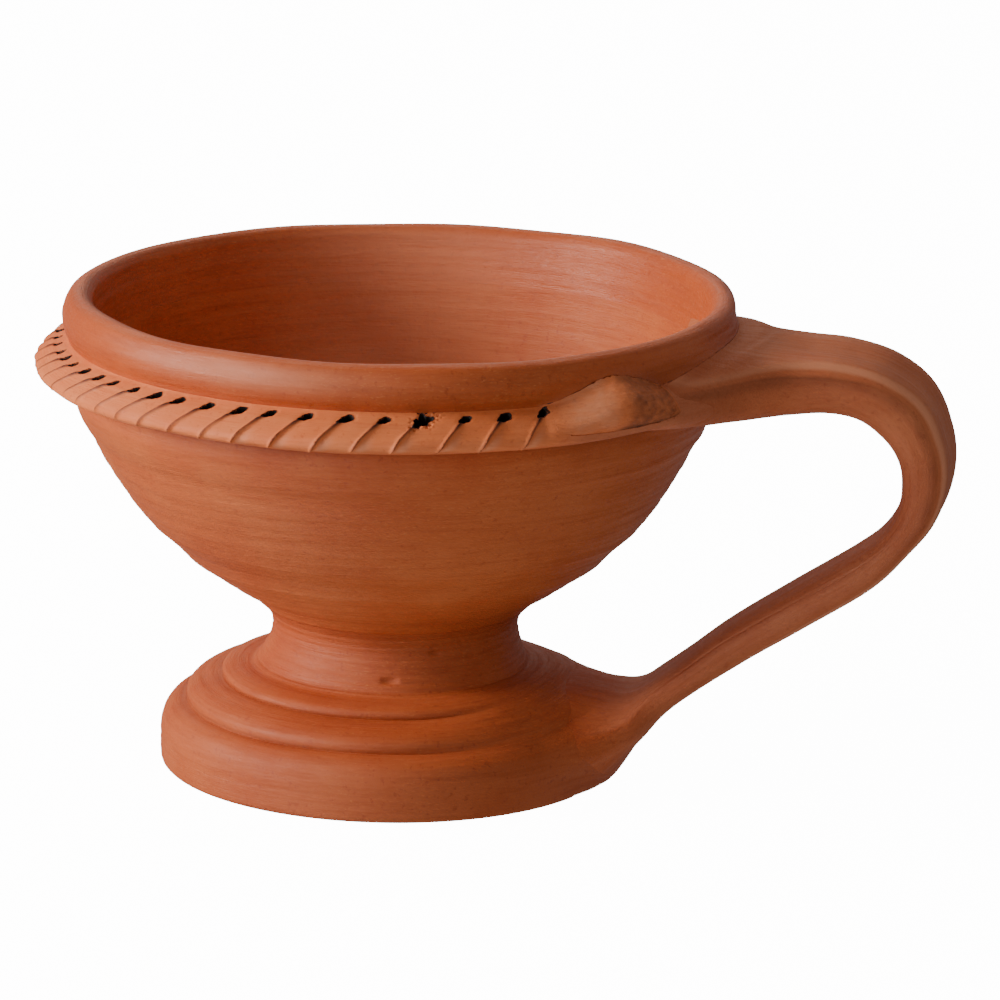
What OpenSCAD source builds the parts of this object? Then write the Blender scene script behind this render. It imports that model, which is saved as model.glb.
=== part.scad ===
// A hand-built terracotta lamp on a stepped foot: an open bowl with a rolled rim, a band
// of slanting tool cuts under it, a thumb-pressed lug at each end of the cuts, and one
// strap handle that runs from the rim down to the foot.
// The origin is the centre of the foot's underside; the handle points along +X.

/* [Foot] */
// Radius of the foot at its widest
foot_r = 42.8; // [40:0.2:46]
// Height at which the upright wall of the foot starts to turn in
foot_wall_h = 7; // [5:0.5:8]
// Height of the stepped foot, up to the stem
foot_h = 19.6; // [18.5:0.1:21]
// Radius of the open hollow under the foot
hollow_r = 34; // [30:0.5:36]

/* [Stem] */
// Radius of the stem at its waist
waist_r = 23.2; // [20:0.2:25]
// Height of the stem
stem_h = 11.4; // [10:0.2:14]
// Height that the hollow runs up inside the stem
stem_hollow_h = 7; // [4:0.5:8]

/* [Bowl] */
// Outer radius of the bowl under its rim
bowl_r = 60; // [57:0.2:63]
// Height of the bowl's wall, from the stem to the rolled rim
bowl_h = 49; // [46:0.5:53]
// Thickness of the bowl's wall under the rim
wall_t = 4.5; // [3.5:0.5:6]
// Thickness of the bowl's floor
floor_t = 6; // [4:0.5:8]

/* [Rim] */
// Height of the rolled rim above the bowl's wall
roll_h = 10.2; // [9:0.2:12]
// How far the roll stands out past the bowl's wall
roll_out = 3.6; // [2.5:0.1:4.5]

/* [Band] */
// How far the cut band stands out past the bowl's wall
band_out = 7.5; // [6:0.1:9]
// Number of slanting cuts in the band
cut_count = 44; // [24:1:52]
// Angle between the handle and the first cut on either side
cut_start = 55.7; // [54:0.1:64]
// Angle that each cut slants over
cut_slant = 5.6; // [3:0.1:7]
// Radius of the tool that presses each groove
groove_r = 1.5; // [1:0.1:2]
// Radius of the hole at the top of each groove
hole_r = 1.15; // [0.8:0.05:1.4]

/* [Lugs] */
// Angle between the handle and the middle of each lug
lug_angle = 41; // [39:0.5:44]
// Half of the angle that a lug covers
lug_half = 10.5; // [8:0.5:11]

/* [Handle] */
// How far the handle reaches from the lamp's axis
reach = 104.4; // [101:0.2:112]
// Width of the strap at the bend
strap_w = 21.6; // [18:0.2:26]

/* [Hidden] */
CLAY = [0.70, 0.36, 0.22];
CLAY_LIGHT = [0.76, 0.42, 0.27];
CLAY_DARK = [0.60, 0.29, 0.17];
ROUND = 180;
STEPS = 4;
STRAP_SIDES = 24;
STRAP_STEPS = 5;
stem_top = foot_h + stem_h;
wall_top = stem_top + bowl_h;
crest_z = wall_top + roll_h;
band_low = wall_top - 6;
floor_z = stem_top + floor_t;
stem_foot_r = waist_r + 2.8;
stem_top_r = waist_r + 1.8;
bore_r = 12;
bore_top_r = 8.5;
half_w = strap_w / 2;

// A point between four neighbours of a smooth curve, t going from 0 at b to 1 at c
function between(a, b, c, d, t) =
  0.5 * (2 * b + (c - a) * t + (2 * a - 5 * b + 4 * c - d) * t * t
  + (3 * b - a - 3 * c + d) * t * t * t);

// A smooth curve through the given points, each a vector of any length
function smooth(p, steps) = concat(
  [for (i = [0 : len(p) - 2], k = [0 : steps - 1])
    between(p[max(i - 1, 0)], p[i], p[i + 1], p[min(i + 2, len(p) - 1)], k / steps)],
  [p[len(p) - 1]]
);

function around(r, angle, z) = [r * cos(angle), r * sin(angle), z];

function reversed(p) = [for (i = [len(p) - 1 : -1 : 0]) p[i]];

// All points of a list but the first
function tail(p) = [for (i = [1 : len(p) - 1]) p[i]];

// ---- Outlines, each point a radius and a height ----

// The foot: an upright wall with a soft shoulder, then two low steps up to the stem
foot_outline = concat(
  [[foot_r - 1.7, 0]],
  smooth([
    [foot_r - 1.1, 0.2], [foot_r - 0.5, 1.1], [foot_r - 0.1, 3.5], [foot_r, foot_wall_h],
    [foot_r - 0.5, foot_wall_h + 2], [foot_r - 1.8, foot_wall_h + 3.6],
    [foot_r - 4.4, foot_wall_h + 4.5]
  ], STEPS),
  smooth([
    [foot_r - 4.7, foot_wall_h + 5.2], [foot_r - 5.2, foot_wall_h + 6.6],
    [foot_r - 8, foot_wall_h + 7.9], [foot_r - 11.4, foot_wall_h + 9]
  ], STEPS),
  smooth([
    [foot_r - 11.6, foot_wall_h + 9.5], [foot_r - 12.1, foot_wall_h + 10.6],
    [foot_r - 14.2, foot_wall_h + 11.4], [stem_foot_r, foot_h]
  ], STEPS)
);

// The hollow under the foot, a low dome that narrows to the bore in the stem
hollow_outline = smooth([
  [hollow_r, 0], [hollow_r - 1.2, 3.5], [hollow_r * 0.78, 8], [bore_r + 5, 13], [bore_r, foot_h]
], STEPS);

stem_outline = smooth([
  [stem_foot_r, foot_h], [waist_r + 1, foot_h + stem_h * 0.22],
  [waist_r, foot_h + stem_h * 0.6], [waist_r + 0.5, foot_h + stem_h * 0.84],
  [stem_top_r, stem_top]
], STEPS);

// A point on the bowl's outside, given as shares of its flare and of its height
function bowl_at(flare, rise) = [
  stem_top_r + (bowl_r - stem_top_r) * flare,
  stem_top + (band_low - stem_top) * rise
];

bowl_curve = smooth([
  bowl_at(0, 0), bowl_at(0.19, 0.115), bowl_at(0.43, 0.25), bowl_at(0.62, 0.385),
  bowl_at(0.77, 0.535), bowl_at(0.89, 0.71), bowl_at(0.955, 0.86), bowl_at(1, 1)
], STEPS);

inside_curve = smooth([
  [0, floor_z], [bowl_r * 0.3, floor_z + 1.2], [bowl_r * 0.55, floor_z + 5.6],
  [bowl_r * 0.72, floor_z + 13], [bowl_r * 0.83, floor_z + 22],
  [bowl_r * 0.895, floor_z + 32], [bowl_r - wall_t, wall_top]
], STEPS);

band_curve = smooth([
  [bowl_r, band_low], [bowl_r + band_out * 0.55, band_low + 0.9],
  [bowl_r + band_out - 0.6, band_low + 2.1], [bowl_r + band_out, band_low + 3.3],
  [bowl_r + band_out * 0.8, band_low + 5.3], [bowl_r + 2.5, wall_top + 1.7]
], STEPS);

// The roll, from the edge that rests on the band, over its crest and down to the bowl's inside
ROLL_CREST = 5;
roll_curve = smooth([
  [bowl_r + 1.2, wall_top + 1.6], [bowl_r + roll_out - 0.8, wall_top + 2.6],
  [bowl_r + roll_out, wall_top + 4.6], [bowl_r + roll_out - 0.3, crest_z - 3.4],
  [bowl_r + 2.1, crest_z - 0.9], [bowl_r, crest_z], [bowl_r - 1.8, crest_z - 0.45],
  [bowl_r - 2.8, crest_z - 1.7], [bowl_r - 3.2, crest_z - 3.4],
  [bowl_r - 3.9, crest_z - 6], [bowl_r - wall_t, wall_top]
], STEPS);

// ---- Clay bodies ----

// Everything inside the outline of the bowl, the band and the roll, filled to the axis
module filled_bowl() {
  outer_roll = [for (i = [0 : ROLL_CREST * STEPS]) roll_curve[i]];
  rotate_extrude($fn = ROUND)
    polygon(concat([[0, stem_top]], bowl_curve, tail(band_curve), outer_roll, [[0, crest_z]]));
}

module filled_foot() {
  rotate_extrude($fn = ROUND)
    polygon(concat([[0, 0]], foot_outline, [[0, foot_h]]));
}

module foot() {
  color(CLAY)
    rotate_extrude($fn = ROUND)
      polygon(concat(foot_outline, reversed(hollow_outline)));
}

module stem() {
  color(CLAY_DARK)
    rotate_extrude($fn = ROUND)
      polygon(concat(
        stem_outline, [[0, stem_top], [0, foot_h + stem_hollow_h]],
        [[bore_top_r, foot_h + stem_hollow_h], [bore_r, foot_h]]
      ));
}

module bowl() {
  color(CLAY)
    rotate_extrude($fn = ROUND)
      polygon(concat(
        [[0, stem_top]], bowl_curve, [[bowl_r, wall_top]], reversed(inside_curve)
      ));
}

module rim_roll() {
  color(CLAY_LIGHT)
    rotate_extrude($fn = ROUND)
      polygon(concat([[bowl_r, wall_top]], roll_curve));
}

// A round rod from one point to another
module rod(from, to, r) {
  run = to - from;
  translate(from)
    rotate([0, acos(run[2] / norm(run)), atan2(run[1], run[0])])
      cylinder(h = norm(run), r = r, $fn = 20);
}

// One tool cut: a hole pressed in under the roll, and a groove that slants down from it
module cut(angle) {
  rod(
    around(bowl_r + 2.8, angle, wall_top + 2.5),
    around(bowl_r + band_out + 1.2, angle - cut_slant, band_low + 1.6),
    groove_r
  );
  rod(
    around(bowl_r + 4, angle, wall_top + 2.9),
    around(bowl_r + 0.8, angle, wall_top - 0.9),
    hole_r
  );
}

module notched_band() {
  pitch = (360 - 2 * cut_start) / (cut_count - 1);
  color(CLAY_LIGHT)
    difference() {
      rotate_extrude($fn = ROUND)
        polygon(concat(band_curve, [roll_curve[0], [bowl_r, wall_top]]));
      for (i = [0 : cut_count - 1])
        cut(-cut_start - i * pitch);
    }
}

// A lug: a pinched ridge that climbs from the band's edge onto the roll. Its long face
// leans back along the cuts, and its short face drops towards the handle.
module lug(side) {
  mid = side * lug_angle;
  difference() {
    hull() {
      translate(around(bowl_r + 3.2, mid, crest_z - 3.8))
        sphere(r = 2, $fn = 28);
      translate(around(bowl_r + band_out - 0.9, mid + side * 1.5, band_low + 3.4))
        sphere(r = 2.2, $fn = 28);
      translate(around(bowl_r + 4, mid + side * lug_half, wall_top - 0.4))
        sphere(r = 1.8, $fn = 28);
      translate(around(bowl_r + band_out - 1.7, mid - side * lug_half, band_low + 4))
        sphere(r = 2, $fn = 28);
    }
    filled_bowl();
    strap(top_stations);
  }
}

module front_lug() {
  color(CLAY_LIGHT)
    lug(-1);
}

module rear_lug() {
  color(CLAY_LIGHT)
    lug(1);
}

// ---- Handle ----

// A station of the strap: how far its outer and inner faces lie from the axis, the heights
// of both, and half of its width
function station(out_x, out_z, in_x, in_z, half) = [out_x, out_z, in_x, in_z, half];

// A station given by how far it lies short of the handle's reach, and by shares of the height
function bend(out_gap, out_rise, in_gap, in_rise, half) =
  station(reach - out_gap, wall_top * out_rise, reach - in_gap, wall_top * in_rise, half);

top_stations = [
  station(bowl_r - 6, wall_top + 6.4, bowl_r - 6, wall_top - 7.6, half_w + 22),
  station(bowl_r + 1, wall_top + 6.2, bowl_r + 1, wall_top - 7.8, half_w + 15.7),
  station(bowl_r + 7.5, wall_top + 5.4, bowl_r + 7.5, wall_top - 8, half_w + 8.2),
  station(bowl_r + 15, wall_top + 4.5, bowl_r + 14.5, wall_top - 6.8, half_w + 5)
];

strap_stations = [
  top_stations[3],
  bend(20.4, 1.045, 21.9, 0.9325, half_w + 4),
  bend(11.9, 1.015, 15.8, 0.924, half_w + 3),
  bend(5.1, 0.956, 10.7, 0.8775, half_w + 1.8),
  bend(1, 0.8625, 7.8, 0.8225, half_w + 0.8),
  bend(0, 0.7625, 7.3, 0.76, half_w),
  bend(1.5, 0.665, 8.4, 0.694, half_w - 0.5),
  bend(5.8, 0.5875, 11.6, 0.62, half_w - 1),
  bend(13.5, 0.509, 17, 0.559, half_w - 1.5),
  bend(25.8, 0.404, 28.8, 0.46, half_w - 1.8),
  bend(37.9, 0.305, 40.9, 0.3525, half_w - 1.6),
  station(foot_r + 12.2, 15.3, foot_r + 9.4, 19.5, half_w - 0.2)
];

lower_stations = [
  strap_stations[11],
  station(foot_r + 5.4, 8, foot_r + 4.2, 16.8, half_w + 3.6),
  station(foot_r, 1.2, foot_r - 1.6, 15.4, half_w + 8),
  station(foot_r - 6, 1.2, foot_r - 8, 14.6, half_w + 8)
];

// One cross-section of the strap: a flattened round, slightly hollowed along its outer face
function strap_ring(s) =
  let (
    mid = [s[0] + s[2], s[1] + s[3]] / 2,
    rise = [s[0] - s[2], s[1] - s[3]] / 2
  )
  [for (k = [0 : STRAP_SIDES - 1])
    let (
      a = 360 * k / STRAP_SIDES,
      across = sign(cos(a)) * pow(abs(cos(a)), 0.8),
      up = sign(sin(a)) * pow(abs(sin(a)), 0.8),
      valley = sin(a) > 0.5 ? 0.82 + 0.18 * abs(across) : 1
    )
    [mid[0] + rise[0] * up * valley, across * s[4], mid[1] + rise[1] * up * valley]];

// A solid strap through a list of stations
module strap(stations) {
  rings = [for (s = smooth(stations, STRAP_STEPS)) strap_ring(s)];
  last = len(rings) - 1;
  polyhedron(
    points = [for (ring = rings, p = ring) p],
    faces = concat(
      [[for (k = [0 : STRAP_SIDES - 1]) k]],
      [for (i = [0 : last - 1], k = [0 : STRAP_SIDES - 1])
        let (a = i * STRAP_SIDES + k, b = i * STRAP_SIDES + (k + 1) % STRAP_SIDES)
        each [[a, a + STRAP_SIDES, b + STRAP_SIDES], [a, b + STRAP_SIDES, b]]],
      [[for (k = [STRAP_SIDES - 1 : -1 : 0]) last * STRAP_SIDES + k]]
    )
  );
}

module handle_top_root() {
  color(CLAY)
    difference() {
      strap(top_stations);
      filled_bowl();
    }
}

module handle() {
  color(CLAY_DARK)
    strap(strap_stations);
}

module handle_lower_root() {
  color(CLAY)
    difference() {
      strap(lower_stations);
      filled_foot();
    }
}

foot();
stem();
bowl();
rim_roll();
notched_band();
front_lug();
rear_lug();
handle_top_root();
handle();
handle_lower_root();
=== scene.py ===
"""A terracotta hand lamp: open bowl, rolled rim, tool-cut band, two lugs and a strap handle.

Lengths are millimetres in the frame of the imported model, and metres where meshes, lights and the
camera are placed.
Every piece is a closed body of its own. Where two pieces of clay were smeared together, both
follow one shared skin, so that the join is as smooth as the potter's thumb left it.
"""
import math

import bpy
import numpy as np
from mathutils import Matrix, Vector
from mathutils.bvhtree import BVHTree


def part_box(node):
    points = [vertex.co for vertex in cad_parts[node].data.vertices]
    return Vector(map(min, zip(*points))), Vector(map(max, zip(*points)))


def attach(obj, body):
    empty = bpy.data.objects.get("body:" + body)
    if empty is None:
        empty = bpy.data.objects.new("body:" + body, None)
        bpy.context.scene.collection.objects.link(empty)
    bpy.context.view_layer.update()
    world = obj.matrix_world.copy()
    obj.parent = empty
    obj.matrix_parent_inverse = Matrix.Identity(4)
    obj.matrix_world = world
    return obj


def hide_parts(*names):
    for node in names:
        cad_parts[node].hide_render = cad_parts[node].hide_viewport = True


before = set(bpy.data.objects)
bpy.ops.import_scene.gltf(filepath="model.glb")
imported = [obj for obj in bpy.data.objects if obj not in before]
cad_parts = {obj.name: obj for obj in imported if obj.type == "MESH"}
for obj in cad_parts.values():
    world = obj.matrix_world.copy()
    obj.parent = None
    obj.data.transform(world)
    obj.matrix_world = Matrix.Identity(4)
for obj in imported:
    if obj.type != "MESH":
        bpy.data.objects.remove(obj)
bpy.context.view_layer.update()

MM = 0.001
TAU = 2 * math.pi


# ---------------------------------------------------------------- sizes from the frame

def node_mm(node):
    """The lowest and highest corner of a CAD node, in millimetres."""
    low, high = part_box(node)
    return np.array(low) / MM, np.array(high) / MM


FOOT_R, FOOT_TOP = node_mm("foot")[1][1:]
STEM_TOP = node_mm("stem")[1][2]
BOWL_R, WALL_TOP = node_mm("bowl")[1][1:]
CREST = node_mm("rim_roll")[1][2]
BAND_LOW = node_mm("notched_band")[0][2]
BAND_R = node_mm("notched_band")[1][1]
REACH = node_mm("handle")[1][0]
WALL = 4.5
BORE_R = 12.0
FOOT_WALL = 7.0
NECK_R = FOOT_R - 17.3
WAIST_R = 23.0
LEAN_TOWARDS = math.radians(10)


# ---------------------------------------------------------------- curves

def smooth(points, steps=8):
    """A Catmull-Rom curve through the points."""
    p = np.asarray(points, float)
    p = np.vstack([p[0], p, p[-1]])
    out = []
    for a, b, c, d in zip(p[:-3], p[1:-2], p[2:-1], p[3:]):
        t = np.linspace(0, 1, steps, endpoint=False)[:, None]
        out.append(0.5 * (2 * b + (c - a) * t + (2 * a - 5 * b + 4 * c - d) * t**2
                          + (3 * b - a - 3 * c + d) * t**3))
    return np.vstack(out + [p[-1:]])


def lengths(curve):
    """How far along a curve each of its points lies."""
    return np.concatenate([[0], np.cumsum(np.linalg.norm(np.diff(curve[:, :2], axis=0), axis=1))])


def respace(curve, gap):
    """The same curve with points about gap apart."""
    run = lengths(curve)
    count = max(2, int(round(run[-1] / gap)) + 1)
    at = np.linspace(0, run[-1], count)
    return np.stack([np.interp(at, run, curve[:, k]) for k in range(curve.shape[1])], -1)


def outline(*parts):
    """Joins stretches of a lathe outline, each (points, gap, rough). Gives radius, height and roughness."""
    rows = []
    for points, gap, rough in parts:
        curve = respace(np.asarray(points, float), gap)
        run = lengths(curve)
        ends = np.minimum(run, run[-1] - run)
        fade = np.clip(ends / 1.6, 0, 1) * rough
        rows.append(np.column_stack([curve, fade]))
    joined = np.vstack(rows)
    keep = np.concatenate([[True], np.linalg.norm(np.diff(joined[:, :2], axis=0), axis=1) > 1e-6])
    return joined[keep]


def step(x, low, high):
    """A smooth rise from 0 at low to 1 at high."""
    t = np.clip((x - low) / (high - low), 0, 1)
    return t * t * (3 - 2 * t)


def bump(x, mid, width):
    """A smooth bell of height 1."""
    return np.exp(-((x - mid) / width) ** 2)


# ---------------------------------------------------------------- outlines of the thrown parts

foot_skin = [
    smooth([
        (FOOT_R - 0.8, 0), (FOOT_R - 0.1, 0.4), (FOOT_R + 0.2, 2.2), (FOOT_R + 0.2, FOOT_WALL - 0.5),
        (FOOT_R - 0.2, FOOT_WALL + 1.7), (FOOT_R - 1.2, FOOT_WALL + 3.5),
        (FOOT_R - 2.8, FOOT_WALL + 4.6), (FOOT_R - 4.5, FOOT_WALL + 4.9)
    ]),
    smooth([
        (FOOT_R - 4.5, FOOT_WALL + 4.9), (FOOT_R - 4.5, FOOT_WALL + 5.9),
        (FOOT_R - 4.9, FOOT_WALL + 7.1), (FOOT_R - 6.5, FOOT_WALL + 8.3),
        (FOOT_R - 8.8, FOOT_WALL + 9.1), (FOOT_R - 11.1, FOOT_WALL + 9.5)
    ]),
    smooth([
        (FOOT_R - 11.1, FOOT_WALL + 9.5), (FOOT_R - 10.9, FOOT_WALL + 10.2),
        (FOOT_R - 11.5, FOOT_WALL + 11.0), (FOOT_R - 13.1, FOOT_WALL + 11.6),
        (FOOT_R - 15.2, FOOT_WALL + 11.9), (FOOT_R - 16.6, FOOT_TOP - 0.5), (NECK_R, FOOT_TOP)
    ]),
]
foot_hollow = smooth([
    (BORE_R, FOOT_TOP), (BORE_R + 5, 13), (26.5, 8), (32.8, 3.5), (34, 0)
])
neck_points = [
    (NECK_R, FOOT_TOP), (WAIST_R + 1.6, FOOT_TOP + 1.5), (WAIST_R + 0.6, FOOT_TOP + 4),
    (WAIST_R, FOOT_TOP + 7), (WAIST_R + 0.6, FOOT_TOP + 9.5)
]
FINE_STEPS = 16
profile = smooth(neck_points + [
    (WAIST_R + 2.2, STEM_TOP), (28.0, 33.4), (31.4, 35.4), (35.8, 38.5), (40.5, 42.3), (46.8, 48.4),
    (51.9, 55.6), (56.1, 63.0), (59.4, 69.5), (BOWL_R + 0.1, 72.4), (BOWL_R, BAND_LOW)
], FINE_STEPS)
neck_end = len(neck_points) * FINE_STEPS
stem_skin, bowl_skin = profile[:neck_end + 1], profile[neck_end:]
stem_hollow = smooth([
    (0, FOOT_TOP + 7), (5, FOOT_TOP + 6.9), (8.6, FOOT_TOP + 5.6), (BORE_R, FOOT_TOP)
])
bowl_inside = smooth([
    (0, 37), (18, 38.2), (33, 42.6), (43.2, 50), (49.8, 59), (53.7, 69),
    (BOWL_R - WALL, WALL_TOP)
])
ROLL_SEAT = (BOWL_R + 1.8, WALL_TOP + 2.1)
roll_skin = smooth([
    ROLL_SEAT, (BOWL_R + 1.95, WALL_TOP + 2.7), (BOWL_R + 2.45, WALL_TOP + 3.8),
    (BOWL_R + 2.9, WALL_TOP + 5.3), (BOWL_R + 2.85, WALL_TOP + 6.9),
    (BOWL_R + 2.15, WALL_TOP + 8.7), (BOWL_R + 1.1, CREST - 0.35), (BOWL_R - 0.3, CREST),
    (BOWL_R - 1.6, CREST - 0.45), (BOWL_R - 2.5, CREST - 1.5), (BOWL_R - 2.9, CREST - 3),
    (BOWL_R - 3.6, CREST - 5.6), (BOWL_R - WALL, WALL_TOP)
])
band_skin = smooth([
    ROLL_SEAT, (BOWL_R + 2.3, WALL_TOP + 1.75), (BOWL_R + 4.4, WALL_TOP + 0.7),
    (BOWL_R + 6.2, WALL_TOP - 0.8), (BAND_R - 0.25, WALL_TOP - 2.0), (BAND_R, WALL_TOP - 2.9),
    (BAND_R - 0.5, WALL_TOP - 3.8), (BOWL_R + 5, BAND_LOW + 1.4), (BOWL_R + 2.4, BAND_LOW + 0.7),
    (BOWL_R, BAND_LOW)
])


# ---------------------------------------------------------------- what the hand left on the clay

def lean(z):
    """How far the lamp's axis leans towards the handle at a height: it was thrown by hand."""
    return np.interp(z, [0, 8, 16, 24, 45, 60, 70, 78, 90], [-0.1, 0, 0.2, 1.0, 0.9, 0.6, 0.6, 1.2, 1.7])


def turn_from(theta, azimuth):
    """The signed angle from an azimuth in degrees."""
    return np.mod(theta - math.radians(azimuth) + math.pi, TAU) - math.pi


def unevenness(theta, r, z):
    """How far the hand-thrown clay is out of round, and how far it sags or rises."""
    oval = 0.22 * np.cos(2 * theta + 0.7) + 0.13 * np.cos(3 * theta + 2.1 + z / 40)
    tilt = 0.0065 * r * np.cos(theta - 0.3) * step(z, 40, 72) * (1 - step(z, 79, 87))
    tilt = tilt + (0.2 + 0.15 * np.sin(theta) + 0.5 * bump(turn_from(theta, 50), 0, 0.5)) * step(z, 82, 90)
    return oval * np.clip(r / 45, 0, 1), tilt


def thumb_press(theta, z):
    """How far the roll was pressed in above the handle."""
    return 0.9 * bump(turn_from(theta, 22), 0, 0.75) * step(z, 82, 85) * (1 - step(z, 87, 90))


def hand_thrown(theta, r, z):
    """A point of the turned outline, moved by the lamp's lean and its unevenness."""
    oval, tilt = unevenness(theta, r, z)
    shift = lean(z)
    x = (r + oval) * np.cos(theta) + shift * math.cos(LEAN_TOWARDS)
    y = (r + oval) * np.sin(theta) + shift * math.sin(LEAN_TOWARDS)
    return np.stack([x, y, z + tilt], -1)


def as_turned(p):
    """Azimuth, and the radius and height in the outline, of points on the finished lamp."""
    shift = lean(p[:, 2])
    x = p[:, 0] - shift * math.cos(LEAN_TOWARDS)
    y = p[:, 1] - shift * math.sin(LEAN_TOWARDS)
    theta, r = np.arctan2(y, x), np.hypot(x, y)
    oval, tilt = unevenness(theta, r, p[:, 2])
    z = p[:, 2] - tilt
    return theta, np.stack([r - oval + thumb_press(theta, z), z], -1)


def throwing_rings(run, theta, seed):
    """Fine rings left by fingers and a rib, as heights along the skin's normal."""
    rng = np.random.default_rng(seed)
    total = 0
    for wave, height in ((9.0, 0.02), (5.2, 0.025), (3.1, 0.03), (1.7, 0.025)):
        phase, drift, turn = rng.uniform(0, TAU, 3)
        wander = 0.5 * np.sin(theta + drift) + 0.3 * np.sin(2 * theta + turn)
        total = total + height * np.sin(TAU * run / wave + phase + wander)
    return total


# ---------------------------------------------------------------- mesh making

# How much slower the clay's pattern changes along a streak than across it.
GRAIN_PULL = 0.07


def grid_faces(rows, columns, close_rows):
    """Quads over a grid of points numbered row by row, each row being a closed ring."""
    r = np.arange(rows if close_rows else rows - 1)
    c = np.arange(columns)
    r, c = np.meshgrid(r, c, indexing="ij")
    r2, c2 = (r + 1) % rows, (c + 1) % columns
    quads = np.stack([r * columns + c, r * columns + c2, r2 * columns + c2, r2 * columns + c], -1)
    return quads.reshape(-1, 4)


def capped_tube(rows, columns):
    """Faces over a grid of rings, with a cap on its first and its last."""
    faces = grid_faces(rows, columns, close_rows=False).tolist()
    faces.append(tuple(range(columns))[::-1])
    faces.append(tuple(range((rows - 1) * columns, rows * columns)))
    return faces


class Clay:
    """A closed body in the making: points in millimetres, faces, grain directions, shade with its painted
    shade and painted highlights, and how far its colour has turned to that of the clay it was smeared onto,
    or, on the band under the lugs, darkened as painted shade."""

    def __init__(self, points, faces, grain, shade, merge=None):
        self.points, self.faces, self.grain, self.shade = points, faces, grain, shade
        self.merge = 0 * shade if merge is None else merge

    def fire(self, name, material, slot, node, sharp=50):
        """Makes it a Blender piece that stands for a CAD node."""
        mesh = bpy.data.meshes.new(name)
        mesh.from_pydata((self.points * MM).tolist(), [], self.faces)
        mesh.shade_smooth()
        mesh.set_sharp_from_angle(angle=math.radians(sharp))
        grain = mesh.attributes.new("grain", "FLOAT_VECTOR", "POINT")
        grain.data.foreach_set("vector", np.asarray(self.grain, np.float32).ravel())
        for key, values in (("shade", self.shade), ("merge", self.merge)):
            tone = mesh.attributes.new(key, "FLOAT", "POINT")
            tone.data.foreach_set("value", np.asarray(values, np.float32).ravel())
        mesh.materials.append(material)
        piece = bpy.data.objects.new(name, mesh)
        bpy.context.scene.collection.objects.link(piece)
        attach(piece, "root")
        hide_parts(node)


def face_out(points, faces):
    """Turns all faces over if the closed body is inside out."""
    tris = np.array([(f[0], f[k], f[k + 1]) for f in faces for k in range(1, len(f) - 1)])
    a, b, c = points[tris[:, 0]], points[tris[:, 1]], points[tris[:, 2]]
    volume = np.einsum("ij,ij->i", a, np.cross(b, c)).sum()
    return [tuple(f)[::-1] for f in faces] if volume < 0 else [tuple(f) for f in faces]


def lathe(line, theta, seed, relief):
    """A closed body turned from an outline. An outline that starts and ends on the axis gets a point at
    each pole. relief(theta, run, z, normal) gives how far clay is moved out and up, and its shade."""
    on_axis = line[0, 0] < 1e-6
    core, run = (line[1:-1], lengths(line)[1:-1]) if on_axis else (line, lengths(line))
    ahead = np.roll(core[:, :2], -1, 0) - np.roll(core[:, :2], 1, 0)
    if on_axis:
        ahead[0], ahead[-1] = core[1, :2] - core[0, :2], core[-1, :2] - core[-2, :2]
    ahead /= np.linalg.norm(ahead, axis=1)[:, None] + 1e-12
    normal = np.stack([ahead[:, 1], -ahead[:, 0]], -1)[:, :, None]
    t, s = np.meshgrid(theta, run)
    rise = throwing_rings(s, t, seed) * core[:, 2:3]
    r = core[:, 0:1] + normal[:, 0] * rise
    z = core[:, 1:2] + normal[:, 1] * rise
    out, up, shade = relief(t, s, core[:, 1:2] + 0 * t, normal)
    points = hand_thrown(t, r + out, z + up).reshape(-1, 3)
    reach = np.maximum(core[:, 0:1], 8) * GRAIN_PULL
    grain = np.stack([reach * np.cos(t), reach * np.sin(t), s + 0 * t], -1).reshape(-1, 3)
    shade = shade.ravel()
    count = len(theta)
    faces = grid_faces(len(core), count, close_rows=not on_axis).tolist()
    if on_axis:
        for row, (_, height, _) in ((0, line[0]), (len(core) - 1, line[-1])):
            pole = len(points)
            place = hand_thrown(np.zeros(1), np.zeros(1), np.array([height]))
            points, shade = np.vstack([points, place]), np.append(shade, 0)
            grain = np.vstack([grain, [[0, 0, run[row]]]])
            ring = [row * count + c for c in range(count)]
            fans = [(pole, ring[(c + 1) % count], ring[c]) for c in range(count)]
            faces += fans if row == 0 else [f[::-1] for f in fans]
    return Clay(points, face_out(points, faces), grain, shade)


# ---------------------------------------------------------------- shared skins

# Points are measured in chunks, to keep memory small.
CHUNK = 8000
# Anything this near counts as lying on a skin.
TOUCHING = 1e-3


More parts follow.
